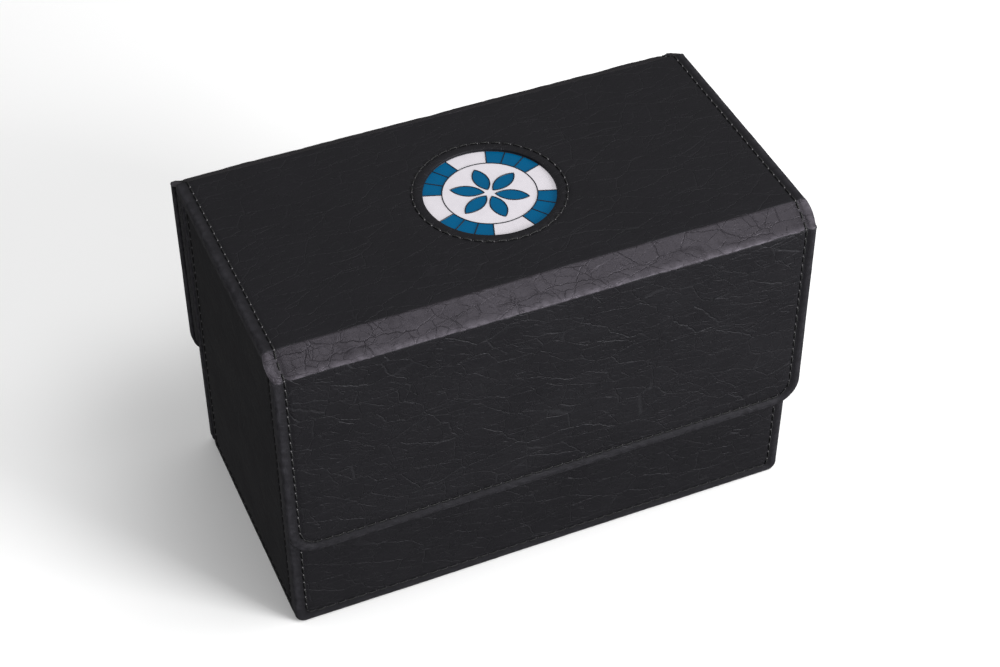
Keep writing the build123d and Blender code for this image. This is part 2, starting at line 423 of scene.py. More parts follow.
def edge_profile(depth):
    """Outset and drop of each ring from the face's border round to the pocket's floor."""
    rings = [(EDGE * math.sin(a), EDGE * (1 - math.cos(a))) for a in np.radians((20, 42, 66, 90))]
    rings += [(EDGE, depth * 0.45), (EDGE, depth * 0.7)]
    for a in np.radians((0, 45, 90)):
        rings.append((EDGE - INNER_EDGE * (1 - math.cos(a)), depth - INNER_EDGE * (1 - math.sin(a))))
    pocket = EDGE - SKIN - POCKET_LAP
    return rings + [(pocket, depth), (pocket, SKIN)]


def window_patch(panel, x, y, columns, verts, faces):
    """Fills a square left in the grid with rings that turn from square to circle.

    Returns the square: its first and last column, and its first and last row."""
    line_u = x[:columns]
    line_v = y[::columns]
    reach = WINDOW_RADIUS + WINDOW_PATCH
    i0, i1 = np.searchsorted(line_u, -reach), np.searchsorted(line_u, reach)
    j0, j1 = np.searchsorted(line_v, -reach), np.searchsorted(line_v, reach)
    square = [j0 * columns + i for i in range(i0, i1)]
    square += [j * columns + i1 for j in range(j0, j1)]
    square += [j1 * columns + i for i in range(i1, i0, -1)]
    square += [j * columns + i0 for j in range(j1, j0, -1)]
    outer = np.c_[x[square], y[square]]
    far = np.linalg.norm(outer, axis=1)[:, None]
    circle = outer / far
    seam = np.array(seam_circle())
    previous = square
    for t in np.linspace(0, 1, WINDOW_RINGS + 1)[1:]:
        round_ring = circle * (far + (WINDOW_RADIUS - far) * t)
        straight = outer + (circle * WINDOW_RADIUS - outer) * t
        share = smooth(t * 1.15)
        ring = round_ring * share + straight * (1 - share)
        z = relief(panel, ring[:, 0], ring[:, 1], NO_HOLES) + window_relief(ring, seam)
        previous = add_ring(np.c_[ring, z], previous, verts, faces)
    for drop, cut in WINDOW_EDGE:
        ring = np.c_[circle * (WINDOW_RADIUS - cut), np.full(len(circle), -drop)]
        previous = add_ring(ring, previous, verts, faces)
    return i0, i1, j0, j1


def window_relief(points, seam):
    """Channel of the round seam, and the margin that swells between it and the window."""
    d = np.linalg.norm(points, axis=1) - WINDOW_RADIUS
    z = -WINDOW_CHANNEL_DEPTH * bell(d - WINDOW_SEAM_OFFSET, WINDOW_CHANNEL_WIDTH)
    z += WINDOW_SWELL * bell(d - WINDOW_SEAM_OFFSET / 2, WINDOW_SWELL_WIDTH)
    z -= WINDOW_DIP * (1 - smooth(d / WINDOW_DIP_WIDTH))
    if not len(seam):
        return z
    return z - needle_dents(points[:, 0], points[:, 1], seam)


def seam_circle():
    """Needle holes of the seam round the window; the last is the first again."""
    radius = WINDOW_RADIUS + WINDOW_SEAM_OFFSET
    count = round(2 * math.pi * radius / STITCH_PITCH)
    turn = [2 * math.pi * i / count for i in range(count + 1)]
    return [(radius * math.cos(a), radius * math.sin(a)) for a in turn]


def add_ring(points, previous, verts, faces):
    """Adds a ring of vertices and the faces that join it to the one before."""
    start = len(verts)
    verts.extend(map(tuple, points))
    ring = list(range(start, start + len(points)))
    faces.extend(ring_faces(previous, ring))
    return ring


def skin(panel, material, window=False):
    """A panel's leatherette: outer face, rounded turned edges, inner rim and pocket."""
    x, y, rows, columns, limits = face_grid(panel)
    holes = np.vstack(seam_holes(panel)) if panel.inset else NO_HOLES
    z = relief(panel, x, y, holes)
    if window:
        z += window_relief(np.c_[x, y], np.array(seam_circle()))
    verts = list(map(tuple, np.c_[x, y, z]))
    faces, skip = [], None
    if window:
        skip = window_patch(panel, x, y, columns, verts, faces)
    faces = grid_faces(rows, columns, skip) + [tuple(reversed(f)) for f in faces]
    loop = border_loop(rows, columns)
    out = border_normals(panel, x, y, loop, limits)
    rim = np.array([verts[i] for i in loop])
    # the turned edges aren't dead straight
    wobble = 0.05 * value_noise(np.c_[rim[:, :2], np.full(len(loop), 9.0)], 9.0, 6)
    previous = loop
    for outset, drop in edge_profile(panel.depth):
        fade = 1 - smooth(drop / EDGE)
        on_edge = 0.1 < drop < panel.depth - 0.1
        xy = rim[:, :2] + out * (outset + wobble * on_edge)[:, None]
        previous = add_ring(np.c_[xy, rim[:, 2] * fade - drop], previous, verts, faces)
    local = np.array(verts)
    world = panel.to_world(lean(local.copy(), panel))
    world[:, 2] = np.maximum(world[:, 2], 0)  # nothing sinks below the ground
    mesh = bpy.data.meshes.new(f"{panel.name}_skin")
    mesh.from_pydata(world.tolist(), [], faces)
    close_pocket(mesh)
    inset = panel.edge_distance(local[:, 0], local[:, 1])
    set_attribute(mesh, "rim", np.clip(inset, 0, 20))
    set_attribute(mesh, "sheet", local + np.array([0, 0, panel.seed * 1.37]))
    set_attribute(mesh, "wear", panel.wear * (0.2 + 0.8 * smooth((inset - panel.inset + 0.5) / 2.0)))
    mesh.materials.append(material)
    mesh.shade_smooth()
    obj = new_object(f"{panel.name}_skin", mesh, panel.body)
    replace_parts(obj, f"{panel.name}_cover")


def close_pocket(mesh):
    """Fills the open loops on the board's side, leaving a round window open."""
    bm = bmesh.new()
    bm.from_mesh(mesh)
    edges = [e for e in bm.edges if e.is_boundary]
    bmesh.ops.triangle_fill(bm, use_beauty=True, use_dissolve=False, edges=edges)
    bmesh.ops.recalc_face_normals(bm, faces=bm.faces)
    bm.to_mesh(mesh)
    bm.free()


# ---------------------------------------------------------------- stitches
def stitch_shape():
    """One stitch along x from -0.5 to 0.5: rings of x, sag and thickness."""
    x = np.linspace(-0.5, 0.5, 9)
    sag = -1.5 * np.abs(2 * x) ** 5
    thick = 1 - 0.35 * np.abs(2 * x) ** 3
    return x, sag, thick


def stitches(name, seams, place, body, material):
    """Every stitch of some seams as one mesh. place maps rows of u, v, w to the frame."""
    verts, faces, tip, along = [], [], [], []
    shape = list(zip(*stitch_shape()))
    turns = np.linspace(0, 2 * math.pi, STITCH_SIDES, endpoint=False)
    for holes in seams:
        for a, b in zip(holes[:-1], holes[1:]):
            span = np.linalg.norm(b - a)
            if span < SHORTEST_STITCH:
                continue
            forward = (b - a) / span
            across = np.array([-forward[1], forward[0]])
            start = len(verts)
            for x, sag, thick in shape:
                middle = (a + b) / 2 + forward * x * span * STITCH_LENGTH + across * STITCH_SLANT * x
                lift = STITCH_LIFT + THREAD_RADIUS * (0.35 + 0.75 * sag)
                for turn in turns:
                    side = across * THREAD_RADIUS * thick * math.cos(turn)
                    rise = THREAD_RADIUS * thick * math.sin(turn)
                    verts.append((*(middle + side), lift + rise))
                    tip.append(abs(2 * x) ** 4)
                    along.append(x * span)
            faces += tube_faces(start, len(shape), STITCH_SIDES)
    mesh = bpy.data.meshes.new(name)
    mesh.from_pydata(place(np.array(verts)).tolist(), [], faces)
    set_attribute(mesh, "tip", tip)
    set_attribute(mesh, "along", along)
    mesh.materials.append(material)
    mesh.shade_smooth()
    obj = new_object(name, mesh, body)
    return obj


def tube_faces(start, rings, sides):
    """Faces of a closed tube whose rings of vertices begin at start."""
    faces = []
    for ring in range(rings - 1):
        for k in range(sides):
            p = start + ring * sides + k
            q = start + ring * sides + (k + 1) % sides
            faces.append((p, q, q + sides, p + sides))
    end = start + (rings - 1) * sides
    return faces + [tuple(range(start + sides - 1, start - 1, -1)), tuple(range(end, end + sides))]


def panel_stitches(panel, material, window=False):
    """The panel's own seams, or its window's, laid in the channel they pull in the sheet."""
    def place(points):
        x, y = points[:, 0], points[:, 1]
        points[:, 2] += relief(panel, x, y, NO_HOLES)
        if window:
            points[:, 2] += window_relief(points[:, :2], NO_HOLES)
        return panel.to_world(lean(points, panel))

    kind = "window_" if window else ""
    seams = [np.array(seam_circle())] if window else seam_holes(panel)
    obj = stitches(f"{panel.name}_{kind}stitches", seams, place, panel.body, material)
    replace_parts(obj, f"{panel.name}_{kind}thread")


# ---------------------------------------------------------------- hinge strips
class Fold:
    """The lid sheet's section from the top panel's edge, over a hinge strip, to a flap."""

    def __init__(self, top, flap):
        self.side = -1 if flap.w.y < 0 else 1
        self.top, self.flap = top, flap
        cut = EDGE * OPEN_EDGE  # each fold's arc starts this far from its corner
        upper = np.array([top.height / 2, top.face.z])
        lower = np.array([abs(flap.face.y), flap.face.z + flap.height / 2])
        slope = (lower - upper) / np.linalg.norm(lower - upper)
        parts = []
        for corner, before, after in ((upper, (1, 0), slope), (lower, slope, (0, -1))):
            turn = math.acos(np.dot(before, after))
            radius = cut / math.tan(turn / 2)
            start = corner - np.array(before) * cut
            inward = np.array([before[1], -before[0]])
            middle = start + inward * radius
            arm = -inward * radius
            for a in np.linspace(0, turn, FOLD_POINTS):
                c, s = math.cos(a), math.sin(a)
                parts.append(middle + np.array([arm[0] * c + arm[1] * s, arm[1] * c - arm[0] * s]))
        first, last = parts[:FOLD_POINTS], parts[FOLD_POINTS:]
        span = np.linspace(first[-1], last[0], SLOPE_POINTS)[1:-1]
        self.line = np.array(first + list(span) + last)
        step = np.linalg.norm(np.diff(self.line, axis=0), axis=1)
        self.s = np.r_[0, np.cumsum(step)]
        along = np.gradient(self.line, self.s, axis=0)
        along /= np.linalg.norm(along, axis=1)[:, None]
        self.normal = np.c_[-along[:, 1], along[:, 0]]

    def place(self, points):
        """Rows of x, s, w in millimetres, s down the section, to x, y, z in metres."""
        p = np.asarray(points, float)
        y = np.interp(p[:, 1], self.s, self.line[:, 0])
        z = np.interp(p[:, 1], self.s, self.line[:, 1])
        ny = np.interp(p[:, 1], self.s, self.normal[:, 0])
        nz = np.interp(p[:, 1], self.s, self.normal[:, 1])
        y, z = y + ny * p[:, 2], z + nz * p[:, 2]
        share = np.sin(math.pi * np.clip(p[:, 1] / self.s[-1] / FLARE_END, 0, 1))
        flare = FLARE * share * smooth(1 - (self.top.width / 2 - np.abs(p[:, 0])) / FLARE_REACH)
        return np.c_[p[:, 0] + np.sign(p[:, 0]) * flare, self.side * y, z] * MM

    def relief(self, x, s):
        """Meets both panels' own relief at the strip's edges, with wrinkles between."""
        t = s / self.s[-1]
        cut = EDGE * OPEN_EDGE
        top_y = np.full(len(x), self.side * (self.top.height / 2 - cut))
        flap_y = np.full(len(x), self.flap.height / 2 - cut)
        at_top = relief(self.top, x, top_y, NO_HOLES)
        at_flap = relief(self.flap, x * self.flap.u.x, flap_y, NO_HOLES)
        w = at_top * (1 - t) + at_flap * t
        p = np.c_[x, s, np.full(len(x), 50.0 + 20 * self.side)]
        lengthways = np.c_[x * 0.45, s + 1.6 * value_noise(p, 7.0, 11), p[:, 2]]
        ridge = 1 - np.abs(value_noise(lengthways, 2.2, 12))
        crossways = np.c_[x + 1.2 * value_noise(p, 4.0, 13), s * 0.5, p[:, 2]]
        tuck = 1 - np.abs(value_noise(crossways, 3.0, 14))
        inside = np.sin(math.pi * np.clip(t, 0, 1)) ** 0.6  # 0 at both edges of the strip
        pinch = np.exp(-np.maximum(self.top.width / 2 - np.abs(x), 0) / 9.0)  # 1 at its ends
        dent = 0.10 + 0.45 * pinch + 0.24 * bell(t - 0.45, 0.16)
        dent += (0.22 + 0.20 * pinch) * ridge**3
        dent += (0.12 + 0.25 * pinch) * tuck**3
        dent -= 0.22 * value_noise(p, 7.0, 15)
        dent -= 0.18 * value_noise(np.c_[x, s * 0.5, p[:, 2]], 3.4, 16)
        return w - STRIP_DENT * np.tanh(inside * dent / STRIP_DENT)


def hinge_strip(fold, name, material):
    """The bare sheet that bends between two boards, as one closed strip of leatherette."""
    half = fold.top.width / 2 - EDGE
    inner_x = spaced(-half, half, GRID)
    turns = np.radians((25, 50, 75, 90))
    ends = [(EDGE * math.sin(a), EDGE * 0.8 * (1 - math.cos(a))) for a in turns]
    columns = [(-half - dx, drop) for dx, drop in reversed(ends)]
    columns += [(x, 0) for x in inner_x] + [(half + dx, drop) for dx, drop in ends]
    rows = len(fold.s)
    verts, faces = [], []
    for x, drop in columns:
        at = np.full(rows, x)
        w = fold.relief(np.clip(at, -half, half), fold.s) - drop
        under = np.clip(w - STRIP_THIN, -STRIP_LOW, -STRIP_TOP)
        verts += list(zip(at, fold.s, np.maximum(w, under + STRIP_EDGE)))
        verts += list(zip(at, fold.s, under))[::-1]
    n = 2 * rows
    for c in range(len(columns) - 1):  # round the section
        for k in range(n):
            a, b = c * n + k, c * n + (k + 1) % n
            faces.append((a, b, b + n, a + n))
    for c in (0, (len(columns) - 1) * n):  # both ends
        for k in range(rows - 1):
            faces.append((c + k, c + k + 1, c + n - 2 - k, c + n - 1 - k))
    mesh = bpy.data.meshes.new(name)
    local = np.array(verts)
    mesh.from_pydata(fold.place(local).tolist(), [], faces)
    to_end = fold.top.width / 2 - np.abs(local[:, 0])
    to_fold = fold.s[-1] - local[:, 1] + 0.35  # the lower fold is lightened too, a little less: partly real rubbing, partly painted highlight
    set_attribute(mesh, "rim", np.clip(np.minimum(to_end, to_fold), 0, 20))
    set_attribute(mesh, "wear", np.ones(len(local)))
    set_attribute(mesh, "sheet", local + np.array([0, 0, 40.0]))
    mesh.materials.append(material)
    bm = bmesh.new()
    bm.from_mesh(mesh)
    bmesh.ops.recalc_face_normals(bm, faces=bm.faces)
    bm.to_mesh(mesh)
    bm.free()
    mesh.shade_smooth()
    obj = new_object(name, mesh)
    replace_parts(obj, name.replace("_skin", ""))
    return obj


def bend(obj, fold):
    """Bakes the piece's placement into its mesh; its shape already follows the top panel at one edge of
    the strip and the flap at the other.
    """
    ends = fold.place([(0, 0, 0), (0, fold.s[-1], 0)])
    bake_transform(obj)


def strip_stitches(fold, name, material):
    """The top panel's two seams, running on over the strip."""
    x = fold.top.width / 2 - SEAM_INSET
    holes = [stitch_path([(side * x, 0), (side * x, fold.s[-1])], STRIP_PITCH) for side in (-1, 1)]

    def place(points):
        points[:, 2] += fold.relief(points[:, 0], points[:, 1])
        return fold.place(points)

    obj = stitches(name, holes, place, None, material)
    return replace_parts(obj, name.replace("_stitches", "_thread"))


def leaned_copy(node, panel, material):
    """A flap's inner piece, tilted with the flap's skin."""
    mesh = frame["nodes"][node].data.copy()
    points = np.array([v.co for v in mesh.vertices])
    top = (panel.face.z + panel.height / 2) * MM
    share = np.clip((top - points[:, 2]) / (panel.height * MM), 0, 1)
    points[:, 1] += panel.w.y * panel.lean * MM * share**LEAN_POWER
    mesh.vertices.foreach_set("co", points.ravel())
    mesh.materials.clear()
    mesh.materials.append(material)
    obj = new_object(f"{node}_leaned", mesh, panel.body)
    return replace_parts(obj, node)


# ---------------------------------------------------------------- materials
class Shader:
    """A node material with its Principled shader, and a short way to add nodes."""

    def __init__(self, name):
        self.material = bpy.data.materials.new(name)
        self.material.use_nodes = True
        self.tree = self.material.node_tree
        self.principled = self.tree.nodes["Principled BSDF"]

    def add(self, kind, inputs=(), **settings):
        node = self.tree.nodes.new(kind)
        for key, value in settings.items():
            setattr(node, key, value)
        for key, value in dict(inputs).items():
            self.set(node, key, value)
        return node

    def set(self, node, key, value):
        socket = node.inputs[key]
        if isinstance(value, bpy.types.NodeSocket):
            self.tree.links.new(value, socket)
        else:
            socket.default_value = value

    def surface(self, **inputs):
        for key, value in inputs.items():
            self.set(self.principled, key.replace("_", " "), value)
        return self.material

    def attribute(self, name, output="Vector"):
        return self.add("ShaderNodeAttribute", attribute_name=name).outputs[output]

    def noise(self, vector, scale, detail=3.0, rough=0.5, output="Fac"):
        inputs = {"Vector": vector, "Scale": scale, "Detail": detail, "Roughness": rough}
        return self.add("ShaderNodeTexNoise", inputs).outputs[output]

    def scaled(self, vector, factors, offset=(0, 0, 0)):
        """vector * factors + offset; offset may be a socket."""
        inputs = {0: vector, 1: factors, 2: offset}
        return self.add("ShaderNodeVectorMath", inputs, operation="MULTIPLY_ADD").outputs[0]

    def math(self, operation, a, b=0.0, clamp=False):
        return self.add("ShaderNodeMath", {0: a, 1: b}, operation=operation, use_clamp=clamp).outputs[0]

    def ramp(self, value, low, high, to_low=0.0, to_high=1.0):
        """An eased step from to_low, where value is low, to to_high, where it is high."""
        inputs = {"Value": value, "From Min": low, "From Max": high}
        inputs |= {"To Min": to_low, "To Max": to_high}
        return self.add("ShaderNodeMapRange", inputs, interpolation_type="SMOOTHSTEP").outputs[0]

    def mix(self, factor, a, b):
        """From colour a to colour b; each is a socket or three numbers."""
        node = self.add("ShaderNodeMix", data_type="RGBA")
        self.set(node, 0, factor)
        for socket, colour in ((6, a), (7, b)):
            plain = not isinstance(colour, bpy.types.NodeSocket)
            self.set(node, socket, [*colour, 1] if plain else colour)
        return node.outputs[2]

    def bump(self, height, distance, strength=1.0, below=None):
        inputs = {"Height": height, "Distance": distance, "Strength": strength}
        if below:
            inputs["Normal"] = below
        return self.add("ShaderNodeBump", inputs).outputs[0]


def cracks(shader, vector, cell, line, bend, shift):
    """Hairline creases: the edges of stretched cells, bent slowly and then roughly."""
    slow = shader.noise(shader.scaled(vector, (1, 1, 1), shift), 1 / bend[0], 1.0, 0.5, "Color")
    bent = shader.scaled(slow, (bend[1], bend[1], 0), vector)
    rough = shader.noise(bent, 0.42, 2.0, 0.6, "Color")
    bent = shader.scaled(rough, (bend[2], bend[2], 0), bent)
    cells = shader.scaled(bent, (1 / cell[0], 1 / cell[1], 0.02), shift)
    inputs = {"Vector": cells, "Scale": 1.0}
    voronoi = shader.add("ShaderNodeTexVoronoi", inputs, feature="DISTANCE_TO_EDGE")
    return shader.ramp(voronoi.outputs["Distance"], 0.0, line, 1.0, 0.0)


def shade(colour, factor):
    """The colour made brighter or darker."""
    return [c * factor for c in colour]


def leather(name, base, crease_light, gain, specular, rough, tint, depth, rub_and_highlight):
    """Dull leatherette: pebbled grain, hairline branching creases, and edges made lighter, partly worn
    and partly a painted highlight.

    gain is the share of the colour painted along the creases (a painted highlight on the leatherette,
    painted shade on the fold) and depth is their depth in mm, rough the mean roughness, and rub the
    brightness of a worn edge against the base colour, partly painted highlight."""
    s = Shader(name)
    sheet = s.attribute("sheet")
    every = 0.0
    for kind in CREASES:
        lines = cracks(s, sheet, kind["size"], kind["line"], kind["bend"], kind["shift"])
        scale, low, high = kind["patch"]
        patch = s.ramp(s.noise(sheet, scale, 3.0), low, high, *kind["show"])
        every = s.math("MAXIMUM", every, s.math("MULTIPLY", lines, patch))
    # this mask drives the creases' bump and gloss, and also the painted light along them
    every = s.math("MULTIPLY", every, s.attribute("wear", "Fac"))
    grain = s.noise(sheet, 3.0, 3.0, 0.6)
    dents = s.noise(s.scaled(sheet, (0.5, 1, 1)), 0.55, 3.0, 0.55)
    cloud = s.noise(sheet, 0.06, 4.0, 0.6)
    # edges made lighter in patches: partly real rubbing, partly a painted highlight where the turned
    # edges catch the light
    rubbed_and_highlit = s.ramp(s.attribute("rim", "Fac"), 0.3, 3.0, 1.0, 0.0)
    rubbed_and_highlit = s.math("MULTIPLY", rubbed_and_highlit, s.ramp(s.noise(sheet, 0.5, 4.0), 0.35, 0.65, 0.35, 1.0))
    colour = s.mix(cloud, shade(base, 0.84), shade(base, 1.18))
    colour = s.mix(s.math("MULTIPLY", grain, 0.30), colour, shade(base, 0.45))
    # painted light along the creases: a painted highlight (glint on their lips) on the leatherette,
    # painted shade inside them on the fold
    colour = s.mix(s.math("MULTIPLY", every, gain), colour, crease_light)
    colour = s.mix(s.math("MULTIPLY", rubbed_and_highlit, 0.6), colour, shade(base, rub_and_highlight))
    gloss = s.math("MULTIPLY", every, -0.06)
    roughness = s.math("ADD", s.ramp(cloud, 0.3, 0.7, rough - 0.03, rough + 0.05), gloss)
    normal = s.bump(dents, 0.00030, 0.5)
    normal = s.bump(grain, 0.00006, 0.45, normal)
    normal = s.bump(s.math("MULTIPLY", every, -1.0), depth * MM, 1.0, normal)
    s.surface(Base_Color=colour, Roughness=roughness, Normal=normal)
    return s.surface(**{"Specular IOR Level": specular, "Specular Tint": [*tint, 1]})


def thread_material():
    """Black waxed polyester, twisted; its ends, where it dives into the needle holes, are made pale as
    a painted highlight.
    """
    s = Shader("thread")
    along = s.attribute("along", "Fac")
    tip = s.attribute("tip", "Fac")
    coords = s.add("ShaderNodeTexCoord").outputs["Object"]
    twist = s.math("SINE", s.math("MULTIPLY", along, 14.0))
    fibre = s.noise(coords, 6000.0, 2.0)
    colour = s.mix(s.ramp(fibre, 0.3, 0.7), (0.0025, 0.0025, 0.003), (0.006, 0.006, 0.007))
    # painted highlight: a pale glint at both ends of each stitch
    colour = s.mix(s.ramp(tip, 0.6, 0.9, 0.0, 0.9), colour, (0.15, 0.143, 0.15))
    normal = s.bump(s.math("ADD", twist, s.math("MULTIPLY", fibre, 0.4)), 0.00006, 0.6)
    roughness = s.ramp(fibre, 0.3, 0.7, 0.42, 0.6)
    return s.surface(Base_Color=colour, Roughness=roughness, Normal=normal)


def lining_material():
    """Brushed suede-look lining: short nap that lies in soft patches."""
    s = Shader("lining")
    coords = s.add("ShaderNodeTexCoord").outputs["Object"]
    nap = s.noise(coords, 2600.0, 4.0, 0.7)
    patch = s.noise(coords, 45.0, 3.0, 0.6)
    colour = s.mix(patch, (0.016, 0.016, 0.018), (0.030, 0.030, 0.033))
    colour = s.mix(s.ramp(nap, 0.35, 0.7), colour, (0.045, 0.045, 0.048))
    normal = s.bump(nap, 0.00025, 0.7)
    roughness = s.ramp(patch, 0.3, 0.7, 0.86, 0.97)
    s.surface(Base_Color=colour, Roughness=roughness, Normal=normal)
    return s.surface(**{"Sheen Weight": 0.12, "Sheen Roughness": 0.45})


def greyboard_material():
    """Pressed recycled board, with darker fibres."""
    s = Shader("greyboard")
    coords = s.add("ShaderNodeTexCoord").outputs["Object"]
    fibre = s.noise(s.scaled(coords, (900, 900, 2600)), 1.0, 5.0, 0.7)
    fleck = s.noise(coords, 700.0, 2.0)
    colour = s.mix(fibre, (0.24, 0.23, 0.20), (0.42, 0.40, 0.36))
    colour = s.mix(s.ramp(fleck, 0.62, 0.72), colour, (0.10, 0.09, 0.08))
    normal = s.bump(fibre, 0.0001, 0.6)
    roughness = s.ramp(fleck, 0.3, 0.7, 0.85, 0.96)
    return s.surface(Base_Color=colour, Roughness=roughness, Normal=normal)


def magnet_material():
    """Nickel-plated disc, faintly brushed."""
    s = Shader("magnet")
    coords = s.add("ShaderNodeTexCoord").outputs["Object"]
    brush = s.noise(s.scaled(coords, (300, 300, 9000)), 1.0, 3.0)
    colour = s.mix(brush, (0.50, 0.49, 0.47), (0.66, 0.65, 0.62))
    roughness = s.ramp(brush, 0.3, 0.7, 0.22, 0.38)
    s.surface(Base_Color=colour, Roughness=roughness, Normal=s.bump(brush, 0.00002, 0.4))
    return s.surface(Metallic=1.0)


def print_material(name, colour, darker):
    """Printed plastic: an even colour with a faint mottle, and a soft ripple in its gloss."""
    s = Shader(name)
    coords = s.add("ShaderNodeTexCoord").outputs["Object"]
    mottle = s.noise(coords, 420.0, 4.0, 0.6)
    ripple = s.noise(coords, 95.0, 2.0)
    mixed = s.mix(s.ramp(mottle, 0.35, 0.75), colour, darker)
    roughness = s.ramp(mottle, 0.3, 0.7, 0.24, 0.34)
    normal = s.bump(ripple, 0.00012, 0.25)
    s.surface(Base_Color=mixed, Roughness=roughness, Normal=normal)
    return s.surface(**{"Specular IOR Level": 0.08})


def plastic_material():
    """Matt black polypropylene sheet, finely pitted, with long faint scuffs."""
    s = Shader("divider_plastic")
    coords = s.add("ShaderNodeTexCoord").outputs["Object"]
    pits = s.noise(coords, 3200.0, 2.0)
    scuff = s.noise(s.scaled(coords, (60, 60, 1400)), 1.0, 3.0)
    colour = s.mix(s.ramp(scuff, 0.60, 0.72), (0.020, 0.020, 0.022), (0.045, 0.045, 0.047))
    roughness = s.ramp(pits, 0.3, 0.7, 0.48, 0.64)
    return s.surface(Base_Color=colour, Roughness=roughness, Normal=s.bump(pits, 0.00006, 0.6))


def ink_material():
    """Blue-black ink of the badge's outlines, and of the painted shade ring at the window's edge."""
    s = Shader("ink")
    grain = s.noise(s.add("ShaderNodeTexCoord").outputs["Object"], 2500.0)
    colour = s.mix(grain, (0.003, 0.004, 0.008), (0.010, 0.012, 0.020))
    return s.surface(Base_Color=colour, Roughness=s.ramp(grain, 0.3, 0.7, 0.35, 0.5))


# ---------------------------------------------------------------- badge outlines
def outline_curve(name, loops, z, material):
    """Thin printed lines round the badge's shapes, and a ring of painted shade at the window's edge, as
    one curve.
    """
    curve = bpy.data.curves.new(name, "CURVE")
    curve.dimensions = "3D"
    curve.bevel_depth = OUTLINE_RADIUS * MM
    curve.bevel_resolution = 2
    for points, closed in loops:
        spline = curve.splines.new("POLY")
        spline.points.add(len(points) - 1)
        for point, (x, y) in zip(spline.points, points):
            point.co = (x * MM, y * MM, z, 1)
        spline.use_cyclic_u = closed
    curve.materials.append(material)
    new_object(name, curve, "lid_panel")


def arc(radius, start, stop, count, middle=(0.0, 0.0)):
    """Points on an arc from start to stop, in degrees."""
    turn = np.radians(np.linspace(start, stop, count))
    return [(middle[0] + radius * math.cos(a), middle[1] + radius * math.sin(a)) for a in turn]


def badge_loops():
    """Outlines of the badge: points, and whether they close. Two rings, the inlay's and a dark one just
    inside the window's edge that is painted shade; the lines across the outer ring's segments at their
    ends and thirds; and the petals."""
    loops = [(arc(radius, 0, 360, 97)[:-1], True) for radius in (INLAY_RING_RADIUS, WINDOW_SHADE_RING_RADIUS)]
    step = 360 / INLAY_SEGMENTS
    for i in range(INLAY_SEGMENTS):
        middle = step * (i + 0.5)
        for share in (-0.5, -1 / 6, 1 / 6, 0.5):
            a = math.radians(middle + share * INLAY_SEGMENT_ANGLE)
            ends = [(r * math.cos(a), r * math.sin(a)) for r in (INLAY_RING_RADIUS, WINDOW_RADIUS)]
            loops.append((ends, False))
    side = (PETAL_LENGTH**2 + PETAL_WIDTH**2) / (4 * PETAL_WIDTH)
    reach = math.degrees(math.asin(PETAL_LENGTH / 2 / side))
    shift = side - PETAL_WIDTH / 2
    centre = PETAL_START + PETAL_LENGTH / 2
    upper = arc(side, 90 + reach, 90 - reach, 20, (centre, -shift))
    lower = arc(side, 270 + reach, 270 - reach, 20, (centre, shift))
    for i in range(PETALS):
        a = 2 * math.pi * (i + 0.5) / PETALS
        c, s = math.cos(a), math.sin(a)
        petal = [(x * c - y * s, x * s + y * c) for x, y in upper + lower[1:-1]]
        loops.append((petal, True))
    return loops


# ---------------------------------------------------------------- the object
leatherette = leather(
    "leatherette",
    base=(0.0098, 0.0095, 0.0111),
    crease_light=(0.028, 0.028, 0.031),
    gain=0.30,
    specular=0.20,
    rough=0.50,
    tint=(0.93, 0.91, 1.0),
    depth=0.17,
    rub_and_highlight=3.6,
)
# The hinge strips' sheet: a lit copy of the leatherette. Its lighter, purpler base is a painted
# reflection of the lamps, its darker creases painted shade, and its brighter edges partly painted
# highlight; its gloss and tint are its own.
lit_fold = leather(
    "leatherette_fold",
    base=(0.0152, 0.0138, 0.0163),
    crease_light=(0.007, 0.006, 0.008),
    gain=0.30,
    specular=0.30,
    rough=0.43,
    tint=(0.94, 0.87, 1.0),
    depth=0.08,
    rub_and_highlight=6.5,
)
thread = thread_material()
lining = lining_material()
greyboard = greyboard_material()
magnet = magnet_material()
FINISHES = {
    "greyboard": greyboard,
    "lining": lining,
    "magnet": magnet,
    "badge_white": print_material("badge_white", (0.57, 0.545, 0.58), (0.545, 0.52, 0.555)),
    "badge_blue": print_material("badge_blue", (0.0, 0.080, 0.185), (0.0, 0.073, 0.170)),
    "divider_plastic": plastic_material(),
    "leatherette": leatherette,
    "thread": thread,
}
for part in frame["record"]["subparts"]:
    node = frame["nodes"][part["node"]]
    node.data.materials.clear()
    node.data.materials.append(FINISHES[part["material_slot"]])

UP = (0, 0, 1)
WALL_CORNERS = (FOOT_CORNER, CORNER)
END_CORNERS = (CORNER, CORNER)
FLAP_CORNERS = (FLAP_CORNER, CORNER)
box_panels = [
    Panel("front_wall", "box", (1, 0, 0), UP, (0, -1, 0), WALL_CORNERS, SEAM_INSET),
    Panel("rear_wall", "box", (-1, 0, 0), UP, (0, 1, 0), WALL_CORNERS, SEAM_INSET),
    Panel("left_end", "box", (0, -1, 0), UP, (-1, 0, 0), END_CORNERS, END_SEAM_INSET),
    Panel("right_end", "box", (0, 1, 0), UP, (1, 0, 0), END_CORNERS, END_SEAM_INSET),
]
base = Panel("base", "box", (1, 0, 0), (0, -1, 0), (0, 0, -1), END_CORNERS, 0)
top = Panel(
    "top", "lid_panel", (1, 0, 0), (0, 1, 0), UP, END_CORNERS, SEAM_INSET, open_low=True, open_high=True
)
flaps = [
    Panel(name, name, u, UP, w, FLAP_CORNERS, SEAM_INSET, open_high=True)
    for name, u, w in (("front_flap", (1, 0, 0), (0, -1, 0)), ("rear_flap", (-1, 0, 0), (0, 1, 0)))
]

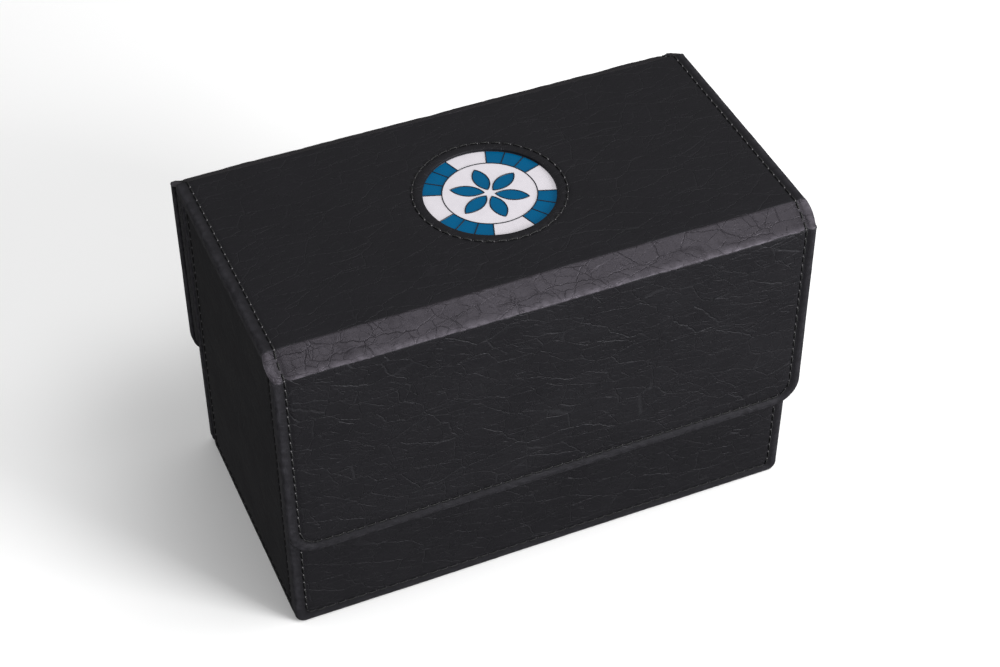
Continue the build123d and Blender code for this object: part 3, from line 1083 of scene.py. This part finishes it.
for panel in box_panels:
    skin(panel, leatherette)
    panel_stitches(panel, thread)
skin(base, leatherette)
skin(top, leatherette, window=True)
panel_stitches(top, thread)
panel_stitches(top, thread, window=True)
for flap in flaps:
    skin(flap, leatherette)
    panel_stitches(flap, thread)
    for kind, finish in (("board", greyboard), ("lining", lining), ("magnets", magnet)):
        leaned_copy(f"{flap.name}_{kind}", flap, finish)
    fold = Fold(top, flap)
    side = flap.name.split("_")[0]
    bend(hinge_strip(fold, f"{side}_hinge_strip_skin", lit_fold), fold)
    bend(strip_stitches(fold, f"{side}_hinge_strip_stitches", thread), fold)

badge_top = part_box("top_badge_disc")[1][2]
outline_curve("badge_outlines", badge_loops(), badge_top, ink_material())


# ---------------------------------------------------------------- studio
def floor():
    """A wide white sheet that the box stands on, left out of its reflections."""
    mesh = bpy.data.meshes.new("floor")
    corners = [(a * FLOOR_HALF, b * FLOOR_HALF) for a, b in ((-1, -1), (1, -1), (1, 1), (-1, 1))]
    mesh.from_pydata([(*corner, FLOOR_HEIGHT) for corner in corners], [], [(0, 1, 2, 3)])
    s = Shader("floor")
    s.surface(Base_Color=(0.93, 0.93, 0.93, 1), Roughness=0.9)
    s.surface(**{"Specular IOR Level": 0.0})
    mesh.materials.append(s.material)
    obj = new_object("floor", mesh)
    obj.visible_glossy = False


def stand(obj, place, back):
    """Puts a lamp or camera at its place, with its back to the direction given."""
    turn = back.to_track_quat("Z", "Y").to_matrix().to_4x4()
    obj.matrix_world = Matrix.Translation(place) @ turn


def softbox(name, place, aim, size, power):
    """A rectangular lamp that faces the point it aims at."""
    light = bpy.data.lights.new(name, "AREA")
    light.shape = "RECTANGLE"
    light.size, light.size_y = size
    light.energy = power
    stand(new_object(name, light), place, Vector(place) - Vector(aim))


def camera():
    """The photograph's view."""
    data = bpy.data.cameras.new("camera")
    data.lens, data.sensor_width = CAMERA_LENS, CAMERA_SENSOR
    obj = new_object("camera", data)
    azimuth, elevation = math.radians(CAMERA_AZIMUTH), math.radians(CAMERA_ELEVATION)
    level = math.cos(elevation)
    back = (math.sin(azimuth) * level, -math.cos(azimuth) * level, math.sin(elevation))
    stand(obj, CAMERA_PLACE, Vector(back))
    bpy.context.scene.camera = obj


def surroundings():
    """White light from all round. Reflections see it dimmer, and darkest near the ground."""
    world = bpy.data.worlds.new("world")
    world.use_nodes = True
    nodes, links = world.node_tree.nodes, world.node_tree.links
    height = nodes.new("ShaderNodeSeparateXYZ")
    links.new(nodes.new("ShaderNodeTexCoord").outputs["Generated"], height.inputs[0])
    reflected = nodes.new("ShaderNodeMapRange")
    for key, value in {"From Min": -0.1, "From Max": 0.4, "To Min": 0.09, "To Max": 0.26}.items():
        reflected.inputs[key].default_value = value
    links.new(height.outputs["Z"], reflected.inputs["Value"])
    strength = nodes.new("ShaderNodeMapRange")
    strength.inputs["To Min"].default_value = 0.68
    links.new(reflected.outputs[0], strength.inputs["To Max"])
    links.new(nodes.new("ShaderNodeLightPath").outputs["Is Glossy Ray"], strength.inputs["Value"])
    links.new(strength.outputs[0], nodes["Background"].inputs["Strength"])
    nodes["Background"].inputs["Color"].default_value = (1, 1, 1, 1)
    bpy.context.scene.world = world


floor()
softbox("overhead", (0.25, -0.29, 0.93), (0, 0, 0.05), (0.50, 0.36), 3.7)
softbox("right", (0.66, -0.82, 0.42), (0.03, -0.04, 0.06), (0.45, 0.45), 13.5)
camera()
surroundings()
bpy.context.scene.view_settings.view_transform = "Standard"
